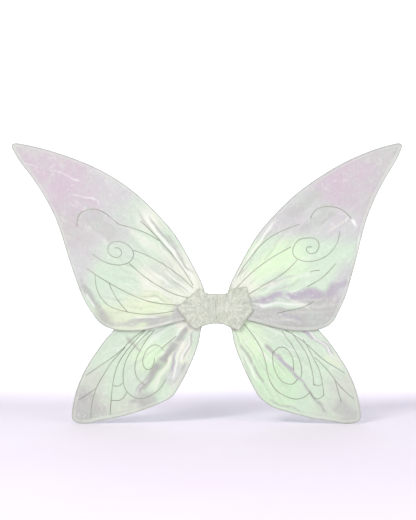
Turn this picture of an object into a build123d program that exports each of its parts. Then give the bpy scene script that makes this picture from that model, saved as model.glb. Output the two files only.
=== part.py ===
from build123d import *
import os
from math import atan2, cos, degrees, pi, radians, sin, sqrt, tan

# A pair of wearable fairy wings: four hemmed films stretched on closed wire frames, two to a
# side, held in a soft panel that folds down its middle and is worn on the back by two elastic
# arm straps. The origin is the middle of the panel's rear face. +Z is up, +Y points at the
# wearer, and the wings' outer face looks along -Y. A wing is drawn in its own plane by its
# distance outwards from the middle and its height, and `side` is -1 on the left, 1 on the right.

os.makedirs("parts", exist_ok=True)

# ---- Wires, hems and films
WIRE_RADIUS = 0.9
CHANNEL_RADIUS = 1.15        # the bore of a hem, which the wire lies in
HEM_OUTSIDE = 1.6            # a hem's outer edge beyond the wire's centre line
HEM_INSIDE = 7.0             # and its inner edge on the film's side
HEM_THICKNESS = 3.0
FILM_THICKNESS = 0.4
FILM_GAP = 0.1
UPPER_PLANE = -8.8           # the upper wings lie in front of the lower ones
LOWER_PLANE = -5.2

# ---- Roots: each wire bends round a lashing, where its hem and film are cut away
EYE_X = 24.0
ROOT_BEND = 3.6
ROOT_OPENING = 22.0
LASHING_RADIUS = 2.4
FERRULE_RADIUS = 1.5
FERRULE_BORE = 0.95
FERRULE_LENGTH = 12.0
FERRULE_REACH = 13.0         # from the root bend to the middle of the ferrule
WIRE_END_GAP = 0.4

# ---- The panel, from the wearer forwards
FABRIC = 1.5
PAD_THICKNESS = 1.8
LAYER_GAP = 0.1
PANEL_DEPTH = 14.0
PAD_INSET = 5.0
FOLD_X = 12.0
FOLD_Y = -7.0
WAIST_HALF = 11.5
LOBE_START = 16.0
WAIST_FRONT = -10.0
WAIST_TOP = 38.5
WAIST_BOTTOM = -30.0
WAIST_ARCH = -28.0
LOBE_CORNER_RADIUS = 2.5

# ---- Arm straps
STRAP_X = 50.0
STRAP_WIDTH = 12.0
STRAP_THICKNESS = 1.2
TAB_LOW = 8.0                # the sewn stretch of each end runs between these heights
TAB_HIGH = 28.0
TAB_BEND = 6.0
SWING_Y = 8.0                # the straps swing about upright lines through here
LAP_STEP = 1.6               # a strap's loop laps past its sewn ends by this much
TACK_LENGTH = 9.0
TACK_WIDTH = 1.6
TACK_HEIGHT = 0.4

# A wing's edge, as stations of (outwards, up, heading in degrees) along its wire: out of the
# panel, round the wing clockwise, and back to the panel.
UPPER_EDGE = [
    (27.5, 46, 74), (53, 101.5, 62), (109, 189.5, 48.5), (201, 275.5, 35.5), (293, 325.5, 22),
    (430, 365.5, 10), (444, 365.6, -22), (446.5, 358, -115),
    (388, 271.5, -123), (344.5, 186, -109.5), (314, 91, -109), (282, 13, -121),
    (238, -35, -158), (180, -42, -182), (92, -24.5, -195),
]
LOWER_OUTER_EDGE = [
    (100, -21, -12), (196, -34, -8), (224, -42, -50), (251.5, -74.5, -54), (294, -144.5, -66),
    (315.5, -229, -85), (307, -242.5, -163),
]
LOWER_INNER_EDGE = {
    -1: [(236, -235, -189), (165, -217, -199), (107, -193, -207), (79, -159, -239), (45, -86, -249)],
    1: [(236, -238, -188), (165, -222.5, -196.5), (116, -204.5, -212), (90, -180, -239), (45, -86, -249)],
}
UPPER_ROOT_OUT, UPPER_ROOT_IN = 84, -201
LOWER_ROOT_OUT, LOWER_ROOT_IN = -15, -249
DRAWN_IN_FROM = 240.0        # past here the right upper wing is narrower than the left
DRAWN_IN = 0.8

LOBE_CORNERS = {
    -1: [(16, 38.5), (21, 39.5), (37, 50), (86, 8), (84, 2), (54, -36), (46, -40), (34, -36)],
    1: [(16, 38.5), (22, 38.5), (30, 47), (66, 54), (81, 1), (55, -35), (53, -42), (33, -39)],
}
SIDES = {-1: "left", 1: "right"}


def layer(y):
    """The wing's own plane, moved to y."""
    return Plane.XZ.offset(-y)


def arc_to(start, angle, end):
    """Draw the arc that leaves start at an angle and stops at end; return its last angle."""
    across, up = end[0] - start[0], end[1] - start[1]
    lean = (radians(angle) - atan2(up, across) + pi) % (2 * pi) - pi
    if abs(lean) < 1e-4:
        Line(start, end)
    else:
        bulge = tan(lean / 2) / 2
        middle_x = (start[0] + end[0]) / 2 - up * bulge
        middle_z = (start[1] + end[1]) / 2 + across * bulge
        ThreePointArc(start, (middle_x, middle_z), end)
    return angle - 2 * degrees(lean)


def smooth(stations):
    """Draw a line through stations, with two arcs that meet smoothly between each pair."""
    for (x0, z0, a0), (x1, z1, a1) in zip(stations, stations[1:]):
        t0, t1 = Vector(cos(radians(a0)), sin(radians(a0))), Vector(cos(radians(a1)), sin(radians(a1)))
        chord = Vector(x1 - x0, z1 - z0)
        along = chord.dot(t0 + t1)
        turn = 2 * (1 - t0.dot(t1))
        if turn > 1e-6:
            leg = (sqrt(along**2 + turn * chord.dot(chord)) - along) / turn
        else:
            leg = chord.length / 2
        middle_x = (x0 + x1 + (t0.X - t1.X) * leg) / 2
        middle_z = (z0 + z1 + (t0.Y - t1.Y) * leg) / 2
        angle = arc_to((x0, z0), a0, (middle_x, middle_z))
        arc_to((middle_x, middle_z), angle, (x1, z1))


def beside_eye(angle):
    """The station on the root bend where the wire heads at this angle."""
    return EYE_X - ROOT_BEND * sin(radians(angle)), ROOT_BEND * cos(radians(angle)), angle


def before(station, distance):
    """The station this far back along a straight line."""
    x, z, angle = station
    return x - distance * cos(radians(angle)), z - distance * sin(radians(angle)), angle


def on_side(stations, side, narrow):
    """Stations turned to a side of the object, and drawn in where that wing is narrower."""
    turned = []
    for x, z, angle in stations:
        run, rise = cos(radians(angle)), sin(radians(angle))
        if narrow and x > DRAWN_IN_FROM:
            x = DRAWN_IN_FROM + (x - DRAWN_IN_FROM) * DRAWN_IN
            run = run * DRAWN_IN
        turned.append((side * x, z, degrees(atan2(rise, side * run))))
    return turned


def wing_stations(edge, root_out, root_in):
    """The whole wire, from the middle of its ferrule round the wing and back."""
    bend_in = beside_eye(root_in)
    start = before(bend_in, FERRULE_REACH)
    straight = before(bend_in, ROOT_OPENING)
    return start, [bend_in, beside_eye(root_out)] + edge + [straight], straight


def wing(name, side, plane_y, edge, root_out, root_in, narrow):
    """Make one wing's wire, ferrule, hem and film."""
    start, stations, straight = wing_stations(edge, root_out, root_in)
    near_end = before(start, -WIRE_END_GAP / 2)
    far_end = before(start, WIRE_END_GAP / 2)
    loop = on_side(stations, side, narrow)
    near_end, far_end, start = on_side([near_end, far_end, start], side, False)

    with BuildPart() as wire:
        with BuildLine(layer(plane_y)) as centre_line:
            Line(near_end[:2], loop[0][:2])
            smooth(loop)
            Line(loop[-1][:2], far_end[:2])
        with BuildSketch(Plane(origin=centre_line.line @ 0, z_dir=centre_line.line % 0)):
            Circle(WIRE_RADIUS)
        sweep()
    save(wire, name + "_wire")

    with BuildPart() as ferrule:
        tilt = Plane(origin=(start[0], plane_y, start[1]), z_dir=centre_line.line % 0)
        with BuildSketch(tilt.offset(-FERRULE_LENGTH / 2)):
            Circle(FERRULE_RADIUS)
            Circle(FERRULE_BORE, mode=Mode.SUBTRACT)
        extrude(amount=FERRULE_LENGTH)
    save(ferrule, name + "_ferrule")

    with BuildSketch() as outline:
        with BuildLine():
            smooth(loop)
            Line(loop[-1][:2], loop[0][:2])
        make_face()
    with BuildSketch(layer(plane_y - HEM_THICKNESS / 2)) as ring:
        add(outline.sketch)
        offset(amount=HEM_OUTSIDE)
        offset(outline.sketch, amount=-HEM_INSIDE, mode=Mode.SUBTRACT)
        with Locations((side * EYE_X, 0)):
            Circle(ROOT_OPENING, mode=Mode.SUBTRACT)
    with BuildPart() as hem:
        extrude(ring.sketch, amount=-HEM_THICKNESS)
        with BuildLine(layer(plane_y)) as channel_line:
            smooth(loop[1:])
            Line(loop[-1][:2], loop[0][:2])
        with BuildSketch(Plane(origin=channel_line.line @ 0, z_dir=channel_line.line % 0)):
            Circle(CHANNEL_RADIUS)
        sweep(mode=Mode.SUBTRACT)
    save(hem, name + "_hem")

    with BuildPart() as film:
        with BuildSketch(layer(plane_y - FILM_THICKNESS / 2)):
            offset(outline.sketch, amount=-HEM_INSIDE - FILM_GAP)
            with Locations((side * EYE_X, 0)):
                Circle(ROOT_OPENING, mode=Mode.SUBTRACT)
        extrude(amount=-FILM_THICKNESS)
    save(film, name + "_film")


def save(piece, label):
    """Name a finished piece and write it."""
    piece.part.label = label
    export_step(piece.part, f"parts/{label}.step")


def lobe_sketch(side, y, inset=0.0):
    """One lobe of the panel, its corners rounded, with its front face in the plane at y."""
    corners = [(side * x, z) for x, z in LOBE_CORNERS[side]]
    with BuildSketch(layer(y)) as lobe:
        with BuildLine():
            Polyline(*corners)
            last = corners[-1]
            arch = (last[0] + side * LOBE_START) / 2, (last[1] + WAIST_BOTTOM) / 2 + 0.8
            ThreePointArc(last, arch, (side * LOBE_START, WAIST_BOTTOM))
            Line((side * LOBE_START, WAIST_BOTTOM), corners[0])
        make_face()
        outer = [corner for corner in lobe.vertices() if abs(corner.X) > LOBE_START + 1]
        fillet(outer, LOBE_CORNER_RADIUS)
        if inset:
            offset(amount=-inset)
    return lobe


def plate(label, sketch, thickness):
    """Make a flat sheet of fabric or padding behind a sketch."""
    with BuildPart() as sheet:
        extrude(sketch.sketch, amount=-thickness)
    save(sheet, label)


def waist_sketch(y, half_width, inset=0.0):
    """The panel's waist between its two folds."""
    with BuildSketch(layer(y)) as waist:
        with BuildLine():
            Polyline(
                (half_width, WAIST_BOTTOM + 1 + inset),
                (half_width, WAIST_TOP - inset),
                (-half_width, WAIST_TOP - inset),
                (-half_width, WAIST_BOTTOM + 1 + inset),
            )
            ThreePointArc(
                (-half_width, WAIST_BOTTOM + 1 + inset),
                (0, WAIST_ARCH + inset),
                (half_width, WAIST_BOTTOM + 1 + inset),
            )
        make_face()
    return waist


# ---- Wings
for side, hand in SIDES.items():
    narrow = side == 1
    wing(f"{hand}_upper", side, UPPER_PLANE, UPPER_EDGE, UPPER_ROOT_OUT, UPPER_ROOT_IN, narrow)
    lower_edge = LOWER_OUTER_EDGE + LOWER_INNER_EDGE[side]
    wing(f"{hand}_lower", side, LOWER_PLANE, lower_edge, LOWER_ROOT_OUT, LOWER_ROOT_IN, False)

# ---- Panel: covers, padding and the lashings that hold the wires' root bends
front_pad_y = -PANEL_DEPTH + FABRIC + LAYER_GAP
back_pad_y = -FABRIC - LAYER_GAP - PAD_THICKNESS
lashing_front = front_pad_y + PAD_THICKNESS + LAYER_GAP
lashing_back = back_pad_y - LAYER_GAP
for side, hand in SIDES.items():
    plate(f"{hand}_front_cover", lobe_sketch(side, -PANEL_DEPTH), FABRIC)
    plate(f"{hand}_front_pad", lobe_sketch(side, front_pad_y, PAD_INSET), PAD_THICKNESS)
    plate(f"{hand}_back_pad", lobe_sketch(side, back_pad_y, PAD_INSET), PAD_THICKNESS)
    plate(f"{hand}_back_cover", lobe_sketch(side, -FABRIC), FABRIC)
    with BuildPart() as lashing:
        with BuildSketch(layer(lashing_front)):
            with Locations((side * EYE_X, 0)):
                Circle(LASHING_RADIUS)
        extrude(amount=lashing_front - lashing_back)
    save(lashing, f"{hand}_root_lashing")

plate("waist_front_cover", waist_sketch(WAIST_FRONT, FOLD_X), FABRIC)
waist_pad_y = WAIST_FRONT + FABRIC + LAYER_GAP
plate("waist_pad", waist_sketch(waist_pad_y, WAIST_HALF, 3), -FABRIC - LAYER_GAP - waist_pad_y)
plate("waist_back_cover", waist_sketch(-FABRIC, WAIST_HALF), FABRIC)

# ---- Arm straps: drawn upright, as stations of (towards the wearer, up, heading). Each strap's
# ends are sewn flat to the back cover, and its loop laps past them, so that it can swing.
strap_middle = STRAP_THICKNESS / 2
bend_top = TAB_HIGH + TAB_BEND
lap_height = bend_top + LAP_STEP
LOOP = [
    (SWING_Y, lap_height, 0), (44, 31, -14), (84, 4, -64), (80, -38, -118), (46, -54, -188),
    (SWING_Y, -lap_height, -180),
]
for side, hand in SIDES.items():
    across = Plane(
        origin=(side * STRAP_X - STRAP_WIDTH / 2, 0, 0), x_dir=(0, 1, 0), z_dir=(1, 0, 0)
    )
    with BuildPart() as strap:
        with BuildSketch(across):
            with BuildLine() as loop_line:
                smooth(LOOP)
            trace(line_width=STRAP_THICKNESS)
        extrude(amount=STRAP_WIDTH)
        for height in (lap_height, -lap_height):
            with BuildSketch(Plane.XY.offset(height - strap_middle)):
                with Locations((side * STRAP_X, SWING_Y)):
                    Circle(STRAP_WIDTH / 2)
            extrude(amount=STRAP_THICKNESS)
    save(strap, f"{hand}_strap")

    with BuildPart() as sewn_ends:
        for way in (1, -1):
            with BuildSketch(across):
                with BuildLine() as end_line:
                    Line((strap_middle, way * TAB_LOW), (strap_middle, way * TAB_HIGH))
                    bend_end = (strap_middle + TAB_BEND, way * bend_top)
                    arc_to((strap_middle, way * TAB_HIGH), way * 90, bend_end)
                    Line(bend_end, (SWING_Y, way * bend_top))
                trace(line_width=STRAP_THICKNESS)
            extrude(amount=STRAP_WIDTH)
            with BuildSketch(Plane.XY.offset(way * bend_top - strap_middle)):
                with Locations((side * STRAP_X, SWING_Y)):
                    Circle(STRAP_WIDTH / 2)
            extrude(amount=STRAP_THICKNESS)
    save(sewn_ends, f"{hand}_strap_ends")

    with BuildPart() as tacks:
        with BuildSketch(Plane.XZ.offset(-STRAP_THICKNESS)):
            heights = [way * height for way in (1, -1) for height in (TAB_LOW + 3, TAB_HIGH - 3)]
            with Locations([(side * STRAP_X, height) for height in heights]):
                SlotOverall(TACK_LENGTH, TACK_WIDTH)
        extrude(amount=-TACK_HEIGHT)
    save(tacks, f"{hand}_strap_tacks")

loop_length = sum(edge.length for edge in loop_line.edges())
sewn_length = TAB_HIGH - TAB_LOW + pi / 2 * TAB_BEND
print(f"strap, end to end: {loop_length + 2 * sewn_length:.0f} mm")
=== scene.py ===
from math import atan2, cos, exp, hypot, pi, radians, sin, sqrt

import bmesh
import bpy
from mathutils import Matrix, Vector, kdtree, noise


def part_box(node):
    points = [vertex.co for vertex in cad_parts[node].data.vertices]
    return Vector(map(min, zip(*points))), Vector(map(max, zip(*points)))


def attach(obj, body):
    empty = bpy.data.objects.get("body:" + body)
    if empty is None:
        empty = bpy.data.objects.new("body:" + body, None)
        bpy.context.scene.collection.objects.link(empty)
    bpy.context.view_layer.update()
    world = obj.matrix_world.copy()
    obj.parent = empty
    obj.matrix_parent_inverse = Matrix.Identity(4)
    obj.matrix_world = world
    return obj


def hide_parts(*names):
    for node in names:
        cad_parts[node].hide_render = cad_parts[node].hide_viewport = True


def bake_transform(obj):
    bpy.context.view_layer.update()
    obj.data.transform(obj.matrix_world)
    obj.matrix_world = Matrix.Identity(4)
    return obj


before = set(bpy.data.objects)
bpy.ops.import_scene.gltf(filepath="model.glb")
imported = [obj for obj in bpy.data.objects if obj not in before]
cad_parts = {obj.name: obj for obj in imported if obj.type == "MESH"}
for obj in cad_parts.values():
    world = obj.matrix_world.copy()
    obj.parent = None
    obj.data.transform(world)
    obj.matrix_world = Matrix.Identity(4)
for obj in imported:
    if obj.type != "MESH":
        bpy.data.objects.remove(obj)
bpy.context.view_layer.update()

# A pair of fairy wings: hemmed iridescent films on wire frames, drawn with curling veins, round a
# small glittery panel that is worn on two elastic arm straps. Lengths below are in millimetres.
MM = 0.001
HANDS = {"left": -1, "right": 1}
FACES = {"front": -1, "back": 1}
WINGS = [(hand, level) for hand in HANDS for level in ("upper", "lower")]

# ---- Where the wings' planes are, and how the film hangs in them
UPPER_PLANE, LOWER_PLANE = -8.8, -5.2
EYE_X = 24.0
ROOT_CLEAR = 27.0            # no stitching nearer to the eye than this
FILM_STEP = 2.0              # the film's mesh is this fine
FILM_HALF = 0.15
BORDER_STEP = 1.0
TAUT_BORDER = 13.0           # the film lies flat at its hem, and billows this far inside it
BILLOW = 0.9
FOLD_HEIGHT = 1.5
FOLDS = [(1, 8, 130), (0.5, 19, 90)]         # as (strength, number to a radian, length)
FOLD_NEAR_ROOT, FOLD_FAR_OUT = 60, 320       # folds are half as high at the tips
SOFT_HEIGHT, SOFT_SCALE = 0.5, 60
CREASE_HEIGHT = 0.65
LEAST_HEIGHT = -0.3
WIDEST_CREASE = 12           # a streak as wide as this is only colour
RAISED = ("painted_highlight", "cream", "glow", "mint")  # creases of these tones stand up, the others sink
VEIN_RADIUS = 0.95
VEIN_FLATNESS = 0.55

# ---- How the film's colours run together, with its painted glints and painted shade
TONE_DRIFT, DRIFT_SCALE = 7, 30
GLINTS = [(1, 24, 80), (0.6, 55, 60)]        # painted glints and painted shade along the folds, listed as the folds are
GLINT_NEAR, GLINT_FAR = 70, 260  # the painted glints and painted shade at a wing's root fade between these distances
GLINT_LOW, GLINT_HIGH = 0.12, 0.6
# the strongest share of painted glint and of painted shade on the film
PAINTED_GLINT, PAINTED_FOLD_SHADE = 0.6, 0.55
STREAK_REACH = 2.6           # a streak shows this many half widths from its line
STREAK_END = 0.14            # a streak fades over this share of its length at each end
FRAY_SCALE = 22
FINE_STREAK = 4              # a streak this narrow or narrower fades softly at its sides

# ---- Hems
HEM_WIDTH = 8.6
CASING_CENTRE = 1.6
CASING_HALF = 1.45
FLAT_HALF = 0.42
HEM_EDGE_HALF = 0.12
HEM_RINGS = (0, 0.2, 0.55, 1.05, 1.6, 2.15, 2.65, 3.0, 3.4, 4.3, 5.5, 6.6, 7.6, 8.2, 8.6)
HEM_STEP = 2.0
RIM_STEP = 0.8
RIM_SHARE, CHAIN_SHARE = 0.6, 0.93  # past these shares of its width lies a hem's outer edge
HEM_LEAD_IN, HEM_LEAD_OUT = 1.5, 1.2  # a hem thins towards its two edges over these
PUCKER, PUCKER_SCALE = 0.14, 4
WIRE_TONE_START, WIRE_TONE_END = 1.6, 3.4  # a hem's dark tone over its wire fades between these
STITCH_WALK = 0.5
STITCH_LENGTH, STITCH_WIDTH = 2.2, 0.5
STITCH_PITCH = 3.5
STITCH_INSET = 1.7

# ---- Panel
PANEL_STEP = 1.5
LOBE_START = 16.0
WAIST_EDGE = [(11, 38.3), (5, 37.9), (0, 37.8), (0, -28.2), (5, -28.4), (11, -29.1)]
PANEL_ROUND = 5.5
PANEL_EDGE_STEP = 0.8
MIDDLE_CLEAR = 0.4           # a half's edge is sewn from this far beside the middle line
PLEAT_HEIGHT, PLEAT_SPREAD = 0.62, 10
WIDE_PLEAT, NARROW_PLEAT = 3.6, 2.3
LUMP_HEIGHT, LUMP_SCALE = 0.45, 5
# Painted shade and light on the panel: darker in the hollows of its relief and lighter on its crests, kept
# between these
RELIEF_SHADE, DARKEST, LIGHTEST = 0.24, 0.72, 1.15
WAIST_END, LOBE_FULL = 11, 21  # the panel thickens from the waist to the lobes between these
# Depths of each face, at the waist and at the lobes
SEAM = {"front": (-5.9, -10.8), "back": (-5.7, -3.1)}
CROWN = {"front": (-9.7, -13.4), "back": (-0.35, -0.35)}
LINING = {"front": (-5.8, -10.6), "back": (-5.8, -3.3)}
STRAP_FLAT_START, STRAP_FLAT_END = 38, 44    # the back is smooth under the straps
BACK_PROUD = 0.2
COVER_WALL = 0.7
QUILT_PITCH = 2.3
QUILT_LENGTH, QUILT_WIDTH, QUILT_LIFT = 1.5, 0.7, 0.1
OVERLOCK_PITCH = 1.15
OVERLOCK_CLEAR = 0.3
OVERLOCK_OUTER, OVERLOCK_INNER = 0.5, 2.7    # its zigzag runs between these, in from the edge
OVERLOCK_RADIUS = 0.22
OVERLOCK_LIFT = 0.12
LOBE_MIDDLE = 40
QUILTING = [
    [(74, 8), (58, 22), (38, 40)], [(70, 5), (55, 17), (35, 34)],
    [(74, -4), (62, -18), (50, -31)], [(69, -5), (57, -18), (46, -30)],
    [(38, -33), (28, -31.5), (20, -30)],
]

# ---- Straps, as points of (towards the wearer, up)
STRAP_X, STRAP_WIDTH, STRAP_THICKNESS = 50.0, 12.0, 1.2
STRAP_RIBS = 12
STRAP_ROUTE = [
    (0.7, 8), (0.7, 16), (0.7, 25), (1.2, 31), (5, 35.2), (13, 35.9), (28, 34.5), (46, 30.5),
    (66, 24), (82, 11), (88, -6), (86.5, -24), (78, -42), (63, -52), (46, -54.5), (28, -47),
    (13, -38.4), (5, -35), (1.2, -31), (0.7, -25), (0.7, -16), (0.7, -8),
]
LOOP_MIDDLE, LOOP_RADIUS = 30, 60  # of the circle nearest to the strap's loop
TACK_HEIGHTS = (11, 25, -11, -25)
TACK_COUNT, TACK_STEP, TACK_START = 12, 0.8, -4.4
TACK_LENGTH, TACK_WIDTH = 2.0, 0.5
TACK_DEPTH = 1.35

# ---- Film colours
# The whitest tone is the colour of painted highlights, and shade that of painted shade, on the films' folds
# and creases
TONES = {
    "blush": (200, 194, 197), "pink": (204, 190, 201), "mist": (205, 205, 206),
    "mint": (208, 228, 206), "leaf": (206, 234, 198), "lime": (222, 235, 202),
    "cream": (234, 238, 222), "painted_highlight": (246, 248, 242), "sage": (208, 216, 202),
    "shade": (174, 176, 172), "lilac": (182, 175, 188), "grey": (188, 189, 186),
    "glow": (220, 243, 206), "rim": (166, 170, 156), "hem": (199, 205, 195),
}

# Patches of colour in each film, as (tone, outwards, up, size)
PATCHES = {
    "left_upper": [
        ("blush", 440, 352, 45), ("pink", 386, 302, 45), ("pink", 310, 279, 42),
        ("pink", 283, 240, 34), ("blush", 310, 175, 34), ("mist", 250, 262, 34),
        ("mist", 212, 176, 38), ("mint", 218, 130, 26), ("mist", 236, 214, 40),
        ("mist", 300, 110, 30), ("mint", 157, 153, 30),
        ("mint", 190, 205, 26), ("cream", 150, 196, 22), ("mint", 245, 80, 26), ("mint", 120, 128, 26),
        ("cream", 140, 84, 20), ("cream", 92, 100, 22), ("sage", 98, 59, 18), ("mint", 205, 78, 24),
        ("lime", 180, 2, 24), ("lime", 122, 6, 20), ("mint", 215, 42, 24), ("lime", 225, -10, 18),
        ("grey", 130, -22, 13), ("grey", 80, -8, 13), ("shade", 240, -24, 14), ("cream", 60, 40, 20),
    ],
    "right_upper": [
        ("grey", 430, 352, 40), ("blush", 380, 310, 40), ("pink", 262, 262, 36), ("pink", 300, 285, 30),
        ("blush", 330, 240, 32), ("mist", 190, 228, 32), ("mist", 225, 200, 32), ("mist", 130, 180, 26),
        ("mist", 276, 196, 30), ("glow", 133, 125, 30), ("glow", 172, 110, 26), ("glow", 100, 92, 24),
        ("mint", 210, 130, 26), ("mint", 215, 84, 26), ("mint", 270, 120, 26), ("mist", 296, 80, 24),
        ("mint", 130, 62, 20), ("cream", 60, 70, 18), ("grey", 260, 10, 24), ("grey", 221, -17, 22),
        ("grey", 120, -10, 16), ("grey", 80, -6, 14), ("mist", 288, 40, 22),
    ],
    "left_lower": [
        ("mint", 130, -40, 28), ("glow", 152, -104, 30), ("leaf", 128, -120, 22), ("mint", 205, -70, 28),
        ("mint", 180, -140, 28), ("mint", 250, -110, 24), ("mint", 215, -160, 28), ("sage", 265, -150, 22),
        ("grey", 290, -200, 26), ("grey", 300, -232, 24), ("sage", 240, -215, 26), ("sage", 190, -205, 20),
        ("mist", 100, -140, 16), ("cream", 84, -80, 14), ("mint", 60, -60, 12), ("mint", 110, -182, 18),
        ("cream", 70, -25, 16), ("grey", 150, -205, 16),
    ],
    "right_lower": [
        ("glow", 80, -60, 26), ("leaf", 110, -120, 26), ("leaf", 100, -150, 24), ("mint", 130, -50, 28),
        ("leaf", 150, -130, 26), ("leaf", 150, -180, 26), ("mint", 200, -120, 28), ("mint", 215, -170, 28),
        ("mint", 250, -120, 24), ("cream", 262, -110, 14), ("sage", 268, -165, 24), ("sage", 290, -205, 26),
        ("grey", 305, -235, 24), ("mint", 190, -212, 22), ("sage", 235, -220, 24), ("mint", 180, -60, 24),
    ],
}

# Long creases and streaks, as (tone, start, end, half width, strength); the whitest are painted highlights
# on raised creases and the darkest painted shade in sunken ones
STREAKS = {
    "left_upper": [
        ("painted_highlight", (421, 324), (386, 314), 2.2, 0.8), ("painted_highlight", (365, 311), (298, 285), 2.4, 0.8),
        ("painted_highlight", (315, 258), (262, 244), 2.2, 0.8), ("pink", (430, 340), (286, 264), 13, 0.7),
        ("pink", (309, 250), (262, 234), 8, 0.9), ("grey", (292, 215), (215, 160), 24, 0.5),
        ("cream", (192, 178), (100, 112), 9, 0.5), ("sage", (150, 104), (69, 59), 13, 0.7),
        ("cream", (180, 84), (84, 30), 9, 0.7), ("lime", (230, -20), (166, -11), 12, 0.7),
        ("shade", (298, 62), (243, -16), 9, 0.8), ("painted_highlight", (160, 214), (46, 62), 3.6, 0.9),
        ("shade", (146, 206), (52, 80), 2.4, 0.9), ("shade", (172, 216), (60, 72), 2.2, 0.7),
        ("painted_highlight", (286, 36), (268, 9), 2.6, 0.9), ("cream", (130, 150), (62, 76), 4, 0.7),
        ("shade", (107, 165), (84, 132), 4, 0.6), ("grey", (225, -31), (70, -12), 9, 0.8),
        ("shade", (175, -22), (92, -8), 2.2, 0.6), ("painted_highlight", (200, -18), (120, -12), 2, 0.6),
        ("painted_highlight", (110, 86), (60, 44), 2.2, 0.8), ("shade", (100, 70), (58, 38), 2.4, 0.6),
    ],
    "right_upper": [
        ("pink", (221, 266), (323, 292), 20, 0.7), ("grey", (150, 200), (230, 262), 16, 0.7),
        ("mint", (70, 101), (140, 172), 10, 0.7), ("glow", (91, 88), (172, 122), 17, 0.9),
        ("lilac", (92, 25), (150, 34), 11, 1), ("lilac", (150, 34), (236, 38), 12.5, 1),
        ("lilac", (236, 38), (292, 66), 12, 0.8), ("painted_highlight", (88, 13), (196, 13), 5.5, 1),
        ("mint", (112, 10), (190, 10), 5, 0.8), ("grey", (84, -3), (250, -20), 11, 0.9),
        ("lilac", (142, -6), (194, -22), 4.5, 0.8), ("painted_highlight", (296, 198), (307, 186), 5, 0.9),
        ("shade", (312, 150), (294, 50), 5, 0.7), ("painted_highlight", (316, 170), (303, 96), 2.2, 0.8),
        ("painted_highlight", (60, 100), (128, 196), 2.6, 0.8), ("shade", (52, 76), (120, 178), 2, 0.5),
        ("cream", (150, 34), (208, 3), 2.5, 0.7), ("shade", (86, 52), (178, 78), 2.2, 0.5),
        ("cream", (78, 46), (150, 66), 4, 0.7), ("shade", (222, 190), (262, 214), 7, 0.5),
        ("grey", (186, 170), (250, 236), 9, 0.6), ("cream", (246, 176), (290, 206), 3.5, 0.6),
    ],
    "left_lower": [
        ("shade", (60, -34), (88, -70), 9, 1), ("shade", (88, -70), (120, -112), 11, 1),
        ("shade", (120, -112), (172, -186), 10, 1), ("painted_highlight", (54, -50), (77, -108), 2.6, 1),
        ("shade", (50, -44), (70, -104), 1.8, 1), ("painted_highlight", (82, -100), (96, -152), 2.8, 0.9),
        ("cream", (95, -90), (137, -170), 4.2, 1), ("lilac", (88, -88), (101, -134), 4.2, 0.9),
        ("mint", (46, -66), (62, -108), 4, 0.8), ("shade", (66, -112), (92, -160), 3, 0.7),
        ("cream", (104, -191), (74, -130), 4, 0.6), ("shade", (196, -55), (168, -88), 4, 0.7),
        ("grey", (301, -226), (239, -212), 16, 0.8), ("shade", (191, -195), (143, -206), 5, 0.6),
        ("painted_highlight", (72, -30), (96, -64), 2, 0.7), ("painted_highlight", (150, -150), (176, -190), 2, 0.6),
    ],
    "right_lower": [
        ("shade", (108, -74), (131, -98), 4.5, 0.9), ("lilac", (131, -98), (170, -132), 6.5, 1),
        ("lilac", (170, -132), (190, -156), 4, 1), ("shade", (190, -156), (216, -195), 3, 1),
        ("shade", (216, -195), (240, -224), 6, 0.8), ("lilac", (186, -44), (216, -60), 5, 0.9),
        ("lilac", (216, -60), (258, -95), 5.5, 0.9), ("painted_highlight", (196, -42), (262, -100), 2.2, 0.9),
        ("lime", (244, -100), (272, -122), 6, 0.7), ("shade", (56, -74), (78, -116), 3.4, 0.9),
        ("shade", (78, -116), (104, -160), 3.2, 0.8), ("painted_highlight", (50, -78), (92, -158), 2.2, 0.8),
        ("glow", (64, -52), (92, -100), 9, 0.8), ("grey", (262, -205), (305, -232), 15, 0.8),
        ("cream", (70, -60), (66, -76), 3, 0.8), ("shade", (112, -196), (190, -222), 3.5, 0.6),
    ],
}

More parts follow.
